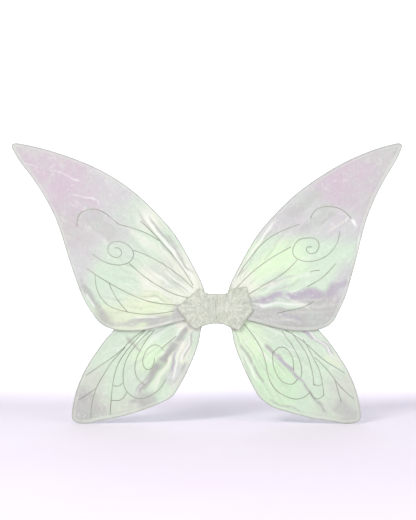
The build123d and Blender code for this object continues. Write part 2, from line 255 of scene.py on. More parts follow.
# The veins drawn on each film, as routes of (outwards, up)
VEINS = {
    "left_upper": [
        [(213, 190), (192, 184), (163, 176), (142, 165), (125, 154)],
        [(166, 197), (145, 178), (125, 156), (104, 134), (87, 112), (66, 83), (51, 56)],
        [(181, 133), (157, 125), (133, 113), (110, 99), (89, 84), (66, 66), (51, 50)],
        [(190, 104), (169, 84), (148, 68), (122, 52), (101, 40), (81, 33), (57, 28)],
        [(283, 93), (263, 78), (239, 64), (210, 47), (180, 33), (154, 22), (128, 16), (87, 13)],
        [(265, 80), (265, 56), (258, 37), (245, 18), (227, 6), (201, -1), (169, -7), (136, -8), (92, 0)],
        [(235, 63), (229, 42), (216, 21), (195, -1)],
        [(223, 138), (213, 140), (206, 131), (208, 121), (217, 116), (229, 119), (238, 128),
         (238, 141), (229, 151), (213, 154), (195, 147), (183, 135), (180, 124), (185, 110),
         (198, 102), (216, 100), (236, 103), (257, 113), (271, 125)],
        [(305, 185), (306, 206), (295, 219), (271, 225), (248, 220), (227, 201), (213, 190)],
    ],
    "right_upper": [
        [(182, 190), (157, 182), (133, 170), (115, 161), (94, 141), (76, 119), (58, 95), (46, 74)],
        [(164, 141), (142, 129), (121, 117), (100, 102), (79, 86), (58, 66), (43, 49)],
        [(177, 112), (160, 92), (139, 77), (118, 65), (94, 51), (70, 36)],
        [(209, 140), (203, 142), (195, 138), (198, 129), (208, 124), (219, 128), (226, 140),
         (224, 154), (213, 161), (197, 160), (180, 158), (169, 143), (166, 129), (172, 116),
         (188, 109), (206, 108), (227, 112), (246, 123), (261, 140), (269, 158), (270, 175)],
        [(206, 203), (212, 218), (224, 227), (245, 230), (266, 227), (284, 218), (295, 203)],
        [(198, 53), (218, 63), (236, 75), (249, 89), (261, 104)],
        [(206, 85), (215, 90), (226, 89)],
        [(133, -5), (157, 1), (182, 5), (203, 13), (213, 22)],
    ],
    "left_lower": [
        [(156, -41), (169, -48), (187, -64), (202, -80), (217, -94), (237, -108), (255, -120),
         (277, -136), (292, -145)],
        [(200, -80), (213, -94), (228, -109), (239, -127), (250, -145), (261, -162), (268, -182),
         (273, -201), (275, -219), (275, -234)],
        [(264, -170), (281, -182), (303, -196)],
        [(156, -42), (174, -61), (189, -77), (202, -94), (212, -109), (219, -125), (224, -142),
         (227, -160), (229, -177), (231, -195), (232, -212), (233, -230)],
        [(226, -163), (220, -167), (212, -166), (206, -158)],
        [(143, -42), (156, -53), (169, -66), (180, -79), (191, -94), (200, -112), (204, -129),
         (205, -149), (203, -165), (195, -180), (182, -189), (169, -193), (154, -191),
         (139, -183), (125, -173), (116, -161), (110, -149)],
        [(230, -196), (215, -198), (206, -194), (200, -186), (196, -177)],
        [(136, -42), (152, -61), (163, -79), (174, -99), (178, -116), (179, -129), (176, -145),
         (168, -155), (157, -162)],
        [(136, -103), (136, -114), (140, -125), (147, -130), (156, -128), (161, -119),
         (162, -107), (157, -92), (150, -81), (139, -74), (128, -74), (120, -81), (116, -87)],
        [(88, -55), (101, -67), (112, -74), (119, -82)],
    ],
    "right_lower": [
        [(58, -26), (76, -46), (89, -66), (100, -85), (107, -107), (111, -129), (115, -149),
         (124, -166), (137, -180), (153, -188), (170, -194), (185, -193), (199, -187), (206, -177)],
        [(124, -89), (123, -105), (125, -120), (131, -138), (140, -151), (150, -159), (164, -162),
         (173, -159), (178, -149)],
        [(123, -94), (132, -82), (142, -78), (153, -81), (161, -90), (168, -103), (170, -116),
         (169, -131)],
        [(144, -45), (161, -66), (172, -85), (181, -103), (187, -120), (188, -134), (186, -145)],
        [(166, -49), (181, -68), (192, -83), (201, -99), (206, -116), (211, -134), (213, -149),
         (214, -164)],
        [(190, -62), (201, -79), (207, -92), (215, -107), (224, -124), (229, -140), (233, -160),
         (235, -173), (236, -186)],
        [(153, -43), (175, -55), (192, -68), (210, -83), (229, -103), (249, -117), (271, -129),
         (281, -136)],
        [(216, -102), (236, -120), (249, -136), (260, -149), (263, -162), (269, -182), (274, -199)],
        [(258, -148), (271, -166), (284, -180), (302, -192)],
        [(213, -160), (223, -166), (229, -165), (233, -158)],
        [(205, -175), (208, -186), (216, -193), (227, -194), (236, -184)],
    ],
}


# ---- Small helpers
def linear(red, green, blue):
    """A colour given as display values from 0 to 255, for a shader or an attribute."""
    parts = [value / 255 for value in (red, green, blue)]
    return tuple(p / 12.92 if p <= 0.04045 else ((p + 0.055) / 1.055) ** 2.4 for p in parts) + (1.0,)


def ease(low, high, value):
    """0 before low, 1 after high, and a smooth step between them."""
    share = min(1.0, max(0.0, (value - low) / (high - low)))
    return share * share * (3 - 2 * share)


def mixed(first, second, share):
    """Part of the way from one number to another."""
    return first + (second - first) * share


def off_line(x, z, start, end):
    """How far a point is from a short line, and how far along the line it lies."""
    run, rise = end[0] - start[0], end[1] - start[1]
    along = ((x - start[0]) * run + (z - start[1]) * rise) / (run * run + rise * rise)
    near = min(1.0, max(0.0, along))
    return hypot(x - start[0] - run * near, z - start[1] - rise * near), near


def ripple(x, z, seed):
    """Smooth noise from about -1 to 1 at a flat point, the same on each run."""
    return noise.noise(Vector((x, z, seed)))


def from_root(u, z):
    """How far a point is from its wing's root, and in which direction."""
    return hypot(u - EYE_X, z), atan2(z, u - EYE_X)


def fan(ripples, radius, angle, seed):
    """The height at a point of ripples that fan out from a wing's root."""
    return sum(
        strength * ripple(angle * turns, radius / length, seed + 5 * number)
        for number, (strength, turns, length) in enumerate(ripples)
    )


def cloud(points):
    """Flat points, ready to be searched for the nearest."""
    tree = kdtree.KDTree(len(points))
    for number, (x, z) in enumerate(points):
        tree.insert((x, 0, z), number)
    tree.balance()
    return tree


def reach(tree, x, z):
    """How far a flat point is from the nearest of a cloud."""
    return tree.find((x, 0, z))[2]


# ---- Finishes
class Signal:
    """A number or colour that varies over a surface, with the arithmetic that finishes use."""

    def __init__(self, finish, socket):
        self.finish = finish
        self.socket = socket

    def math(self, operation, first, second):
        return self.finish.add("ShaderNodeMath", {"operation": operation}, {0: first, 1: second})

    def __add__(self, other):
        return self.math("ADD", self, other)

    def __radd__(self, other):
        return self.math("ADD", other, self)

    def __sub__(self, other):
        return self.math("SUBTRACT", self, other)

    def __rsub__(self, other):
        return self.math("SUBTRACT", other, self)

    def __mul__(self, other):
        return self.math("MULTIPLY", self, other)

    def __rmul__(self, other):
        return self.math("MULTIPLY", other, self)


class Finish:
    """One material and its nodes."""

    def __init__(self, name, **fixed):
        self.material = bpy.data.materials.new(name)
        self.material.use_nodes = True
        self.tree = self.material.node_tree
        self.shader = self.tree.nodes["Principled BSDF"]
        for socket, value in fixed.items():
            self.shader.inputs[socket.replace("_", " ")].default_value = value

    def add(self, kind, settings, sockets, out=0):
        node = self.tree.nodes.new(kind)
        for key, value in settings.items():
            setattr(node, key, value)
        for key, value in sockets.items():
            self.put(node.inputs[key], value)
        return Signal(self, node.outputs[out])

    def put(self, socket, value):
        if isinstance(value, Signal):
            self.tree.links.new(value.socket, socket)
        else:
            socket.default_value = value

    def set(self, socket, value):
        self.put(self.shader.inputs[socket], value)

    def place(self):
        return self.add("ShaderNodeTexCoord", {}, {}, out=3)

    def scaled(self, x, y, z, where=None):
        return self.add("ShaderNodeMapping", {}, {0: where or self.place(), 3: (x, y, z)})

    def noise(self, scale, detail=3.0, where=None, distortion=0.0):
        sockets = {"Vector": where or self.place(), "Scale": scale, "Detail": detail}
        return self.add("ShaderNodeTexNoise", {}, {**sockets, "Distortion": distortion})

    def cells(self, scale, out=0, feature="F1", where=None):
        sockets = {"Vector": where or self.place(), "Scale": scale}
        return self.add("ShaderNodeTexVoronoi", {"feature": feature}, sockets, out)

    def span(self, value, low, high, to_low=0.0, to_high=1.0):
        sockets = {0: value, 1: low, 2: high, 3: to_low, 4: to_high}
        return self.add("ShaderNodeMapRange", {"clamp": True}, sockets)

    def blend(self, share, first, second, way="MIX"):
        settings = {"data_type": "RGBA", "blend_type": way}
        return self.add("ShaderNodeMix", settings, {0: share, 6: first, 7: second}, out=2)

    def red(self, colour):
        return self.add("ShaderNodeSeparateColor", {}, {0: colour})

    def stripes(self, direction, scale):
        sockets = {"Vector": self.place(), "Scale": scale}
        return self.add("ShaderNodeTexWave", {"bands_direction": direction}, sockets)

    def painted(self, name):
        return self.add("ShaderNodeAttribute", {"attribute_name": name}, {}, out=0)

    def bump(self, height, distance, strength=1.0):
        sockets = {"Strength": strength, "Distance": distance, "Height": height}
        self.set("Normal", self.add("ShaderNodeBump", {}, sockets))


def film_finish():
    """Glossy iridescent film: stored tones with painted highlights and painted shade, faint cloudy shifts
    of colour and fine crinkles.
    """
    f = Finish(
        "iridescent_film", Alpha=0.93, IOR=1.46, Coat_Weight=0.35, Coat_Roughness=0.16,
        Thin_Film_Thickness=430.0, Thin_Film_IOR=1.38,
    )
    clouds = f.span(f.noise(11, 2, distortion=0.6), 0.38, 0.66)
    shifts = f.span(f.noise(24, 3, distortion=1.2), 0.42, 0.64)
    tone = f.blend(clouds * 0.14, f.painted("tint_and_painted_light"), linear(204, 196, 208))
    tone = f.blend(shifts * 0.14, tone, linear(198, 232, 200))
    fine = f.noise(70, 4, distortion=2.0)
    tone = f.blend(f.span(fine, 0.58, 0.72) * 0.28, tone, linear(250, 252, 250))
    f.set("Base Color", tone)
    f.set("Roughness", f.span(fine, 0.3, 0.7, 0.2, 0.42))
    crinkle = f.noise(46, 3, distortion=1.4) * 0.8 + f.cells(60, feature="SMOOTH_F1") * 0.4
    f.bump(crinkle + fine * 0.25, 0.0016, 0.42)
    return f.material


def hem_finish():
    """The folded and stitched border, milky where it lies double and darker over the wire."""
    f = Finish("hem_film", IOR=1.46, Coat_Weight=0.2, Coat_Roughness=0.25)
    mottle = f.noise(90, 4)
    tone = f.blend(f.span(mottle, 0.4, 0.7) * 0.3, f.painted("tint_and_painted_light"), linear(218, 222, 212))
    f.set("Base Color", tone)
    f.set("Roughness", f.span(mottle, 0.3, 0.7, 0.3, 0.5))
    f.bump(f.noise(150, 3, distortion=0.8) + f.noise(420, 2) * 0.3, 0.0006, 0.5)
    return f.material


def vein_finish():
    """The veins' raised line of flexible, slightly pearly ink."""
    f = Finish("vein_ink", IOR=1.45, Coat_Weight=0.3, Coat_Roughness=0.3)
    change = f.span(f.noise(32, 3), 0.35, 0.65)
    f.set("Base Color", f.blend(change, linear(134, 146, 126), linear(166, 172, 154)))
    f.set("Roughness", f.span(f.noise(300, 2), 0.3, 0.7, 0.4, 0.6))
    f.bump(f.noise(500, 2), 0.0003, 0.4)
    return f.material


def felt_finish():
    """The panel's soft fabric with fine glitter pressed into it, darkened by painted shade in the hollows
    of its relief.
    """
    f = Finish("glitter_felt", Sheen_Weight=0.25, Sheen_Roughness=0.4, Coat_Roughness=0.2)
    fibres = f.noise(900, 4, distortion=1.0)
    mottle = f.span(f.noise(60, 3), 0.35, 0.68)
    tone = f.blend(mottle, linear(192, 198, 182), linear(209, 213, 199))
    tone = f.blend(f.span(fibres, 0.42, 0.62) * 0.3, tone, linear(186, 190, 176))
    pick = f.span(f.red(f.cells(760, out=1)), 0.72, 0.76)
    glint = pick * (1 - f.span(f.cells(760), 0.22, 0.34))
    tone = f.blend(glint, tone, linear(240, 244, 236))
    speckle = f.span(f.red(f.cells(420, out=1)), 0.0, 1.0, 0.9, 1.1)
    shade = f.add("ShaderNodeCombineColor", {}, {0: speckle, 1: speckle, 2: speckle})
    tone = f.blend(1.0, tone, shade, "MULTIPLY")
    # painted shade and painted light from the panel's relief, stored at each point
    tone = f.blend(1.0, tone, f.painted("tint_and_painted_light"), "MULTIPLY")
    f.set("Base Color", tone)
    f.set("Metallic", glint * 0.55)
    f.set("Roughness", 0.85 - glint * 0.55)
    f.set("Coat Weight", glint * 0.6)
    f.bump(fibres * 0.6 + glint * 0.8 + f.noise(240, 3) * 0.8, 0.0007, 0.6)
    return f.material


def elastic_finish():
    """Knitted elastic: ribs along the strap, crossed by fine rows of yarn."""
    f = Finish("rib_elastic", Sheen_Weight=0.15, Sheen_Roughness=0.5)
    row = f.add("ShaderNodeMath", {"operation": "SINE"}, {0: f.painted("lie") * 5200.0})
    weave = f.span(f.stripes("X", 150.0), 0.2, 0.8) * 0.7 + f.span(row, -1.0, 1.0) * 0.3
    f.set("Base Color", f.blend(weave, linear(196, 200, 190), linear(236, 238, 231)))
    f.set("Roughness", f.span(f.noise(700, 3), 0.3, 0.7, 0.7, 0.9))
    f.bump(weave + f.noise(1200, 2) * 0.3, 0.0005, 0.8)
    return f.material


def thread_finish(name, light, dark):
    """Twisted sewing thread."""
    f = Finish(name, Sheen_Weight=0.1)
    twist = f.stripes("DIAGONAL", 480.0)
    f.set("Base Color", f.blend(f.span(twist, 0.25, 0.75), linear(*dark), linear(*light)))
    f.set("Roughness", f.span(f.noise(800, 2), 0.3, 0.7, 0.55, 0.75))
    f.bump(twist, 0.0002, 0.6)
    return f.material


def metal_finish(name, light, dark, streak, dents):
    """Drawn or crimped metal, with streaks along it and small marks."""
    f = Finish(name, Metallic=1.0)
    drawn = f.noise(streak, 4, where=f.scaled(1, 1, 0.2))
    f.set("Base Color", f.blend(f.span(drawn, 0.35, 0.65), linear(*dark), linear(*light)))
    f.set("Roughness", f.span(f.noise(500, 3), 0.3, 0.7, 0.28, 0.5))
    f.bump(f.noise(dents, 3), 0.0002, 0.5)
    return f.material


FILM, HEM, VEIN = film_finish(), hem_finish(), vein_finish()
FELT, ELASTIC = felt_finish(), elastic_finish()
THREAD = thread_finish("pale_thread", (232, 235, 228), (196, 200, 190))
DARK_THREAD = thread_finish("overlock_thread", (192, 197, 182), (140, 147, 130))
STEEL = metal_finish("spring_wire", (190, 192, 194), (140, 142, 145), 900, 700)
CRIMP = metal_finish("crimped_ferrule", (205, 206, 208), (160, 161, 163), 500, 420)


# ---- Making pieces
def make_piece(name, bm, material):
    """Turn a bmesh into a smooth piece of the object, at the origin."""
    mesh = bpy.data.meshes.new(name)
    bm.to_mesh(mesh)
    bm.free()
    mesh.materials.append(material)
    mesh.shade_smooth()
    piece = bpy.data.objects.new(name, mesh)
    bpy.context.scene.collection.objects.link(piece)
    return piece


def dress(node, material):
    """Give a CAD node its finish."""
    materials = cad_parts[node].data.materials
    materials.clear()
    materials.append(material)


def front_face(node):
    """A CAD node's front face, as one flat face."""
    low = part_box(node)[0].y
    bm = bmesh.new()
    bm.from_mesh(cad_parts[node].data)
    bmesh.ops.remove_doubles(bm, verts=bm.verts[:], dist=1e-6)
    bm.normal_update()
    rest = [f for f in bm.faces if f.normal.y > -0.9 or f.calc_center_median().y > low + 1e-5]
    bmesh.ops.delete(bm, geom=rest, context="FACES")
    bmesh.ops.dissolve_faces(bm, faces=bm.faces[:])
    return bm


def outline(bm):
    """The points round a flat face, in order, as (x, z) in metres."""
    return [(loop.vert.co.x, loop.vert.co.z) for loop in bm.faces[:][0].loops]


def dense(points, step, closed=True):
    """The same outline with points no further apart than step millimetres."""
    made = []
    after = points[1:] + points[:1] if closed else points[1:]
    for (x0, z0), (x1, z1) in zip(points, after):
        parts = int(hypot(x1 - x0, z1 - z0) / (step * MM)) + 1
        made += [(mixed(x0, x1, k / parts), mixed(z0, z1, k / parts)) for k in range(parts)]
    return made


def opened(points):
    """The points of a ring, started again after its widest gap."""
    gaps = [hypot(x - points[k - 1][0], z - points[k - 1][1]) for k, (x, z) in enumerate(points)]
    first = gaps.index(max(gaps))
    return points[first:] + points[:first]


def cut_across(bm, faces, axis, lines, step):
    """Cut faces along the middle one of some lines, and then each half along its own lines."""
    if not lines:
        return
    middle = len(lines) // 2
    at = lines[middle] * step * MM
    geometry = dict.fromkeys(part for face in faces for part in (face, *face.edges, *face.verts))
    point = [at if part == axis else 0.0 for part in range(3)]
    normal = [1.0 if part == axis else 0.0 for part in range(3)]
    cut = bmesh.ops.bisect_plane(
        bm, geom=list(geometry), plane_co=point, plane_no=normal, dist=1e-6
    )
    faces = [part for part in cut["geom"] if isinstance(part, bmesh.types.BMFace)]
    below = [face for face in faces if face.calc_center_median()[axis] < at]
    above = [face for face in faces if face.calc_center_median()[axis] >= at]
    cut_across(bm, below, axis, lines[:middle], step)
    cut_across(bm, above, axis, lines[middle + 1:], step)


def cut_grid(bm, step):
    """Cut flat faces into squares."""
    for axis in (0, 2):
        places = [v.co[axis] / (step * MM) for v in bm.verts]
        lines = list(range(int(min(places)) - 1, int(max(places)) + 2))
        cut_across(bm, bm.faces[:], axis, lines, step)


def give_back(bm, front_y, back_y):
    """Close a front with a back behind it, and move both to their places in depth."""
    made = bmesh.ops.extrude_face_region(bm, geom=bm.faces[:], use_keep_orig=True)["geom"]
    behind = {v for v in made if isinstance(v, bmesh.types.BMVert)}
    for vertex in bm.verts:
        place = back_y if vertex in behind else front_y
        vertex.co.y = place(vertex.co.x, vertex.co.z)
    bmesh.ops.recalc_face_normals(bm, faces=bm.faces[:])


def remember(function):
    """Keep what a function of a flat point gave, because a front and its back both ask."""
    known = {}

    def ask(x, z):
        key = (round(x, 6), round(z, 6))
        if key not in known:
            known[key] = function(x, z)
        return known[key]

    return ask


def paint(piece, colour_at):
    """Store a colour at each point of a piece."""
    layer = piece.data.color_attributes.new("tint_and_painted_light", "FLOAT_COLOR", "POINT")
    for vertex, spot in zip(piece.data.vertices, layer.data):
        spot.color = colour_at(vertex.co.x, vertex.co.z)


def drawn_out(bm, edges, width):
    """Draw edges out sideways into faces, and give the edges that they end on."""
    grown = bmesh.ops.extrude_edge_only(bm, edges=edges)["geom"]
    moved = [part for part in grown if isinstance(part, bmesh.types.BMVert)]
    bmesh.ops.translate(bm, verts=moved, vec=(width, 0, 0))
    return [part for part in grown if isinstance(part, bmesh.types.BMEdge)]


def smooth_line(routes, fineness, radius=0.0, order=4):
    """Smooth lines through some routes, bare or as tubes, as one bmesh."""
    curve = bpy.data.curves.new("line", "CURVE")
    curve.dimensions = "3D"
    curve.bevel_depth = radius * MM
    curve.bevel_resolution = 1
    curve.use_fill_caps = True
    curve.resolution_u = fineness
    for route in routes:
        spline = curve.splines.new("NURBS")
        spline.points.add(len(route) - 1)
        for point, place in zip(spline.points, route):
            point.co = (*place, 1.0)
        spline.order_u = order
        spline.use_endpoint_u = True
    holder = bpy.data.objects.new("line", curve)
    bpy.context.scene.collection.objects.link(holder)
    mesh = bpy.data.meshes.new_from_object(holder)
    bpy.data.objects.remove(holder)
    bpy.data.curves.remove(curve)
    bm = bmesh.new()
    bm.from_mesh(mesh)
    bpy.data.meshes.remove(mesh)
    return bm


def drawn_tube(name, routes, radius, material, order=4):
    """Tubes along smooth lines, as one piece."""
    bm = smooth_line(routes, 5, radius, order)
    bmesh.ops.remove_doubles(bm, verts=bm.verts[:], dist=1e-6)
    bmesh.ops.recalc_face_normals(bm, faces=bm.faces[:])
    return make_piece(name, bm, material)


def add_stitch(bm, place, along, out, length, width):
    """One stitch: a short grain of thread, half sunk in the cloth."""
    side = along.cross(out)
    turn = Matrix((along, side, out)).transposed().to_4x4()
    size = Matrix.Diagonal((length / 2 * MM, width / 2 * MM, width / 2 * MM, 1.0))
    matrix = Matrix.Translation(place) @ turn @ size
    bmesh.ops.create_icosphere(bm, subdivisions=1, radius=1.0, matrix=matrix)


# ---- Films, hems and veins
def streak_share(streak, u, z):
    """How strongly a streak shows at a point."""
    _, start, end, half, strength = streak
    distance, along = off_line(u, z, start, end)
    if distance > STREAK_REACH * half:
        return 0.0
    frayed = half * (0.85 + 0.4 * ripple(u / FRAY_SCALE, z / FRAY_SCALE, half))
    ends = 0.35 + 0.65 * ease(0.0, STREAK_END, along) * ease(0.0, STREAK_END, 1 - along)
    power = 4 if half > FINE_STREAK else 2
    return strength * ends * exp(-((distance / frayed) ** power))


TONE_MIX = {name: Vector(linear(*shade)[:3]) for name, shade in TONES.items()}


def film_tone(wing, u, z):
    """The colour of a film at a point, from its patches, the painted glints and painted shade at its root
    and its streaks.
    """
    u += TONE_DRIFT * ripple(u / DRIFT_SCALE, z / DRIFT_SCALE, 3)
    z += TONE_DRIFT * ripple(u / DRIFT_SCALE, z / DRIFT_SCALE, 9)
    total, tone = 1e-9, Vector((0, 0, 0))
    for name, patch_u, patch_z, size in PATCHES[wing]:
        weight = exp(-((u - patch_u) ** 2 + (z - patch_z) ** 2) / size**2) + 1e-7
        total += weight
        tone += weight * TONE_MIX[name]
    tone /= total
    radius, angle = from_root(u, z)
    glint = fan(GLINTS, radius, angle, len(wing))
    spread = 1 - 0.85 * ease(GLINT_NEAR, GLINT_FAR, radius)
    # Painted highlight where the fold ripple is high, painted shade where it is low
    bright = PAINTED_GLINT * spread * ease(GLINT_LOW, GLINT_HIGH, glint)
    dark = PAINTED_FOLD_SHADE * spread * ease(GLINT_LOW, GLINT_HIGH, -glint)
    tone = tone.lerp(TONE_MIX["painted_highlight"], bright).lerp(TONE_MIX["shade"], dark)
    # Streaks of the films' own colours, with painted highlights on raised creases and painted shade in
    # sunken ones
    for streak in STREAKS[wing]:
        share = min(1.0, streak_share(streak, u, z))
        if share > 0.002:
            tone = tone.lerp(TONE_MIX[streak[0]], share)
    return tone


def film_height(wing, u, z, inside):
    """How far a film stands off its plane: long folds from the root, and the streaks' creases."""
    radius, angle = from_root(u, z)
    seed = len(wing) + 4.0 * wing.startswith("right")
    soft = ripple(u / SOFT_SCALE, z / SOFT_SCALE, seed + 8)
    crease = 0.0
    for streak in STREAKS[wing]:
        if streak[3] < WIDEST_CREASE:
            lift = 1 if streak[0] in RAISED else -1
            crease += lift * streak_share(streak, u, z)
    fold = fan(FOLDS, radius, angle, seed) * (1 - 0.5 * ease(FOLD_NEAR_ROOT, FOLD_FAR_OUT, radius))
    height = BILLOW + FOLD_HEIGHT * fold + SOFT_HEIGHT * soft + CREASE_HEIGHT * crease
    return max(LEAST_HEIGHT, height) * ease(0, TAUT_BORDER, inside)


def make_wing(hand, level):
    """One wing's film, hem, stitching and veins."""
    side = HANDS[hand]
    wing = f"{hand}_{level}"
    body = f"{hand}_wing" if level == "upper" else f"{hand}_lower_wing"
    plane = UPPER_PLANE if level == "upper" else LOWER_PLANE
    away = -1 if level == "upper" else 1

    sheet = front_face(f"{wing}_film")
    area = sum(face.calc_area() for face in sheet.faces)
    edge = outline(sheet)
    border = cloud(dense(edge, BORDER_STEP))

    @remember
    def surface(x, z):
        inside = reach(border, x, z) / MM
        return (plane + away * film_height(wing, side * x / MM, z / MM, inside)) * MM

    cut_grid(sheet, FILM_STEP)
    give_back(
        sheet,
        lambda x, z: surface(x, z) - FILM_HALF * MM,
        lambda x, z: surface(x, z) + FILM_HALF * MM,
    )
    film = make_piece(f"{wing}_film_sheet", sheet, FILM)
    # The film's colours, with their painted highlights and painted shade
    tone_at = remember(lambda x, z: (*film_tone(wing, side * x / MM, z / MM), 1.0))
    paint(film, tone_at)
    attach(film, body)
    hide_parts(f"{wing}_film")

    make_hem(wing, body, plane, border, tone_at)
    make_stitches(wing, body, plane, edge, side)

    veins = drawn_tube(
        f"{wing}_veins",
        [[(side * u * MM, plane * MM, z * MM) for u, z in route] for route in VEINS[wing]],
        VEIN_RADIUS,
        VEIN,
    )
    for vertex in veins.data.vertices:
        depth = (vertex.co.y - plane * MM) * VEIN_FLATNESS
        vertex.co.y = surface(vertex.co.x, vertex.co.z) + depth
    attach(veins, body)


def hem_half(from_edge, x, z):
    """Half a hem's thickness at a distance from its outer edge: full over the wire, then flat."""
    lean = min(1.0, abs(from_edge - CASING_CENTRE) / CASING_CENTRE)
    casing = CASING_HALF * sqrt(1 - lean * lean)
    pucker = PUCKER * ripple(x / (PUCKER_SCALE * MM), 0, z / (PUCKER_SCALE * MM))
    flat = (FLAT_HALF + pucker) * ease(0.0, HEM_LEAD_IN, from_edge)
    return max(HEM_EDGE_HALF, casing, flat * ease(0.0, HEM_LEAD_OUT, HEM_WIDTH - from_edge))


def make_hem(wing, body, plane, border, tone_at):
    """A hem: the film folded round the wire and sewn down."""
    face = front_face(f"{wing}_hem")
    edge = outline(face)
    face.free()

    def outer_edge(step, share):
        return [p for p in dense(edge, step) if reach(border, *p) > share * HEM_WIDTH * MM]

    outer = cloud(outer_edge(RIM_STEP, RIM_SHARE))
    chain = opened(outer_edge(HEM_STEP, CHAIN_SHARE))
    hem = bmesh.new()
    across, along = len(HEM_RINGS) - 1, len(chain) - 1
    bmesh.ops.create_grid(hem, x_segments=along, y_segments=across, size=0.5)
    for vertex in hem.verts:
        x, z = chain[round((vertex.co.x + 0.5) * along)]
        inner = border.find((x, 0, z))[0]
        share = HEM_RINGS[round((vertex.co.y + 0.5) * across)] / HEM_RINGS[-1]
        vertex.co = (mixed(x, inner.x, share), 0, mixed(z, inner.z, share))
    bmesh.ops.remove_doubles(hem, verts=hem.verts[:], dist=2e-5)

    @remember
    def half(x, z):
        return hem_half(reach(outer, x, z) / MM, x, z) * MM

    give_back(hem, lambda x, z: plane * MM - half(x, z), lambda x, z: plane * MM + half(x, z))
    piece = make_piece(f"{wing}_hem_casing", hem, HEM)
    rim_tone, hem_tone = TONE_MIX["rim"], TONE_MIX["hem"]

    def colour(x, z):
        over_wire = 1 - ease(WIRE_TONE_START, WIRE_TONE_END, reach(outer, x, z) / MM)
        # The hem takes in the film's tone there, painted highlights and painted shade included
        own = hem_tone.lerp(Vector(tone_at(x, z)[:3]), 0.6)
        return (*own.lerp(rim_tone, 0.8 * over_wire), 1.0)

    paint(piece, remember(colour))
    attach(piece, body)
    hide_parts(f"{wing}_hem")


def make_stitches(wing, body, plane, edge, side):
    """The line of stitches that holds a hem down, on both of its faces."""
    bm = bmesh.new()
    points = dense(edge, STITCH_WALK)
    walked = 0.0
    turned = sum(x0 * z1 - x1 * z0 for (x0, z0), (x1, z1) in zip(edge, edge[1:] + edge[:1]))
    outwards = 1 if turned > 0 else -1
    for (x0, z0), (x1, z1) in zip(points, points[1:] + points[:1]):
        run = hypot(x1 - x0, z1 - z0)
        walked += run
        if run < 1e-7 or walked < STITCH_PITCH * MM:
            continue
        walked = 0.0
        along = Vector((x1 - x0, 0, z1 - z0)).normalized()
        off = Vector((along.z, 0, -along.x)) * outwards * STITCH_INSET * MM
        place = Vector((x0, 0, z0)) + off
        if hypot(side * place.x / MM - EYE_X, place.z / MM) < ROOT_CLEAR:
            continue
        for way in (-1, 1):
            place.y = (plane + way * FLAT_HALF) * MM
            add_stitch(bm, place, along, Vector((0, way, 0)), STITCH_LENGTH, STITCH_WIDTH)
    piece = make_piece(f"{wing}_hem_stitches", bm, THREAD)
    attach(piece, body)


# ---- Panel
def panel_outline(hand):
    """The edge of one half of the panel: a lobe, and its half of the waist."""
    side = HANDS[hand]
    lobe = front_face(f"{hand}_front_cover")
    points = outline(lobe)
    lobe.free()
    inner = [k for k, (x, z) in enumerate(points) if side * x < (LOBE_START + 0.05) * MM]
    top = max(inner, key=lambda k: points[k][1])
    points = points[top:] + points[:top]
    waist = [(side * x * MM, z * MM) for x, z in WAIST_EDGE]
    if side * points[1][0] > (LOBE_START + 0.05) * MM:
        return points + waist[::-1]
    return points[:1] + waist + points[1:]


def lobe_share(x):
    """0 over the waist and 1 over the lobes."""
    return ease(WAIST_END, LOBE_FULL, abs(x))


def gathers(x, z):
    """Upright pleats where the panel is gathered at its waist."""
    bend = 0.5 * sin(z / 8.0) + ripple(x / 7, z / 11, 2)
    wide = sin(2 * pi * x / WIDE_PLEAT + 2.2 * bend)
    narrow = 0.6 * sin(2 * pi * x / NARROW_PLEAT + 3 * bend + 1)
    return PLEAT_HEIGHT * (wide + narrow) * exp(-((x / PLEAT_SPREAD) ** 2))


def panel_relief(x, z, word):
    """The panel's gathers, tension folds and lumps, in millimetres."""
    from_eye, angle = from_root(abs(x), z)
    out = lobe_share(x)
    radial = 0.9 * ripple(angle * 6, from_eye / 22, 4) * out
    radial += 0.4 * ripple(angle * 15, from_eye / 16, 6) * out * ease(8, 24, from_eye)
    lumps = LUMP_HEIGHT * ripple(x / LUMP_SCALE, z / LUMP_SCALE, 7 + FACES[word])
    return gathers(x, z) + radial + lumps


def panel_height(x, z, edge, word):
    """How deep the panel's outer face lies, from its seam up to its crown, in millimetres."""
    out = lobe_share(x)
    rise = sqrt(max(0.0, 1 - (1 - min(1.0, edge / PANEL_ROUND)) ** 2))
    soft = FACES[word] * panel_relief(x, z, word)
    if word == "back":
        soft = min(BACK_PROUD, soft * (1 - ease(STRAP_FLAT_START, STRAP_FLAT_END, abs(x))))
    return mixed(mixed(*SEAM[word], out), mixed(*CROWN[word], out) + soft, rise)


